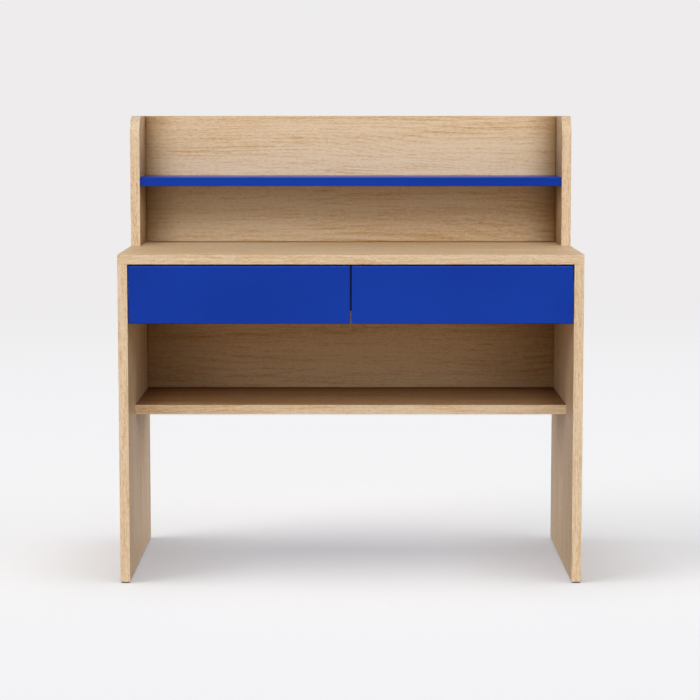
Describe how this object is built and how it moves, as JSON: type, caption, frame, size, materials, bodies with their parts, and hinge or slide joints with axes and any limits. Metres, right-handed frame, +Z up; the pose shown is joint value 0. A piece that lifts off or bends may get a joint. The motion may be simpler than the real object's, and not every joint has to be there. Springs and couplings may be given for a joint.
{
  "type": "student desk with hutch",
  "caption": "Free-standing student desk with slab sides, inset drawers on telescopic slides, a low open shelf and a raised hutch with a shelf.",
  "frame": {"origin": "on the floor, under the middle of the desk's outline", "axes": "+Z up, +X to the sitter's right, +Y towards the back of the desk"},
  "size_m": [1.05, 0.55, 1.058],
  "materials": {
    "oak_board": "light oak laminate, satin, grain along each board",
    "oak_edge_band": "light oak edge banding, satin",
    "blue_lacquer": "deep blue satin lacquer",
    "drawer_board": "pale laminate",
    "hardboard": "thin board, pale face",
    "beech": "fluted beech dowel",
    "zinc_plated_steel": "bright zinc plate",
    "zinc_casting": "cast zinc",
    "polished_steel": "polished bearing steel",
    "cage_plastic": "natural acetal",
    "glide_plastic": "brown polyethylene"
  },
  "bodies": {
    "root": {"left_side_panel": "oak_board", "right_side_panel": "oak_board", "desktop": "oak_board", "low_shelf": "oak_board", "low_back_panel": "oak_board", "centre_divider": "oak_board", "hutch_left_side": "oak_board", "hutch_right_side": "oak_board", "hutch_back_panel": "oak_board", "hutch_shelf": "blue_lacquer", "foot_glides": "glide_plastic", "left_side_edge_band": "oak_edge_band", "right_side_edge_band": "oak_edge_band", "desktop_edge_band": "oak_edge_band", "low_shelf_edge_band": "oak_edge_band", "hutch_left_edge_band": "oak_edge_band", "hutch_right_edge_band": "oak_edge_band", "hutch_back_edge_band": "oak_edge_band", "wood_dowels": "beech", "cam_bolts": "zinc_plated_steel", "cam_nuts": "zinc_casting", "cabinet_rail_screws": "zinc_plated_steel", "left_drawer_left_outer_rail": "zinc_plated_steel", "left_drawer_right_outer_rail": "zinc_plated_steel", "right_drawer_left_outer_rail": "zinc_plated_steel", "right_drawer_right_outer_rail": "zinc_plated_steel"},
    "left_drawer": {"left_drawer_front": "blue_lacquer", "left_drawer_left_side": "drawer_board", "left_drawer_right_side": "drawer_board", "left_drawer_back": "drawer_board", "left_drawer_bottom": "hardboard", "left_drawer_dowels": "beech", "left_drawer_left_inner_rail": "zinc_plated_steel", "left_drawer_right_inner_rail": "zinc_plated_steel", "left_drawer_rail_screws": "zinc_plated_steel"},
    "left_middle_rails": {"left_drawer_left_middle_rail": "zinc_plated_steel", "left_drawer_right_middle_rail": "zinc_plated_steel"},
    "left_outer_cages": {"left_drawer_outer_cages": "cage_plastic", "left_drawer_outer_balls": "polished_steel"},
    "left_inner_cages": {"left_drawer_inner_cages": "cage_plastic", "left_drawer_inner_balls": "polished_steel"},
    "right_drawer": {"right_drawer_front": "blue_lacquer", "right_drawer_left_side": "drawer_board", "right_drawer_right_side": "drawer_board", "right_drawer_back": "drawer_board", "right_drawer_bottom": "hardboard", "right_drawer_dowels": "beech", "right_drawer_left_inner_rail": "zinc_plated_steel", "right_drawer_right_inner_rail": "zinc_plated_steel", "right_drawer_rail_screws": "zinc_plated_steel"},
    "right_middle_rails": {"right_drawer_left_middle_rail": "zinc_plated_steel", "right_drawer_right_middle_rail": "zinc_plated_steel"},
    "right_outer_cages": {"right_drawer_outer_cages": "cage_plastic", "right_drawer_outer_balls": "polished_steel"},
    "right_inner_cages": {"right_drawer_inner_cages": "cage_plastic", "right_drawer_inner_balls": "polished_steel"}
  },
  "joints": [
    {"name": "left_drawer_slide", "type": "slide", "parent": "root", "child": "left_drawer", "axis": [0, -1, 0], "range_m": [0, 0.42]},
    {"name": "left_middle_rails_slide", "type": "slide", "parent": "root", "child": "left_middle_rails", "axis": [0, -1, 0], "range_m": [0, 0.21]},
    {"name": "left_outer_cages_slide", "type": "slide", "parent": "root", "child": "left_outer_cages", "axis": [0, -1, 0], "range_m": [0, 0.105]},
    {"name": "left_inner_cages_slide", "type": "slide", "parent": "root", "child": "left_inner_cages", "axis": [0, -1, 0], "range_m": [0, 0.315]},
    {"name": "right_drawer_slide", "type": "slide", "parent": "root", "child": "right_drawer", "axis": [0, -1, 0], "range_m": [0, 0.42]},
    {"name": "right_middle_rails_slide", "type": "slide", "parent": "root", "child": "right_middle_rails", "axis": [0, -1, 0], "range_m": [0, 0.21]},
    {"name": "right_outer_cages_slide", "type": "slide", "parent": "root", "child": "right_outer_cages", "axis": [0, -1, 0], "range_m": [0, 0.105]},
    {"name": "right_inner_cages_slide", "type": "slide", "parent": "root", "child": "right_inner_cages", "axis": [0, -1, 0], "range_m": [0, 0.315]}
  ],
  "couplings": [
    {"joint": "left_middle_rails_slide", "follows": "left_drawer_slide", "ratio": 0.5},
    {"joint": "left_outer_cages_slide", "follows": "left_drawer_slide", "ratio": 0.25},
    {"joint": "left_inner_cages_slide", "follows": "left_drawer_slide", "ratio": 0.75},
    {"joint": "right_middle_rails_slide", "follows": "right_drawer_slide", "ratio": 0.5},
    {"joint": "right_outer_cages_slide", "follows": "right_drawer_slide", "ratio": 0.25},
    {"joint": "right_inner_cages_slide", "follows": "right_drawer_slide", "ratio": 0.75}
  ]
}
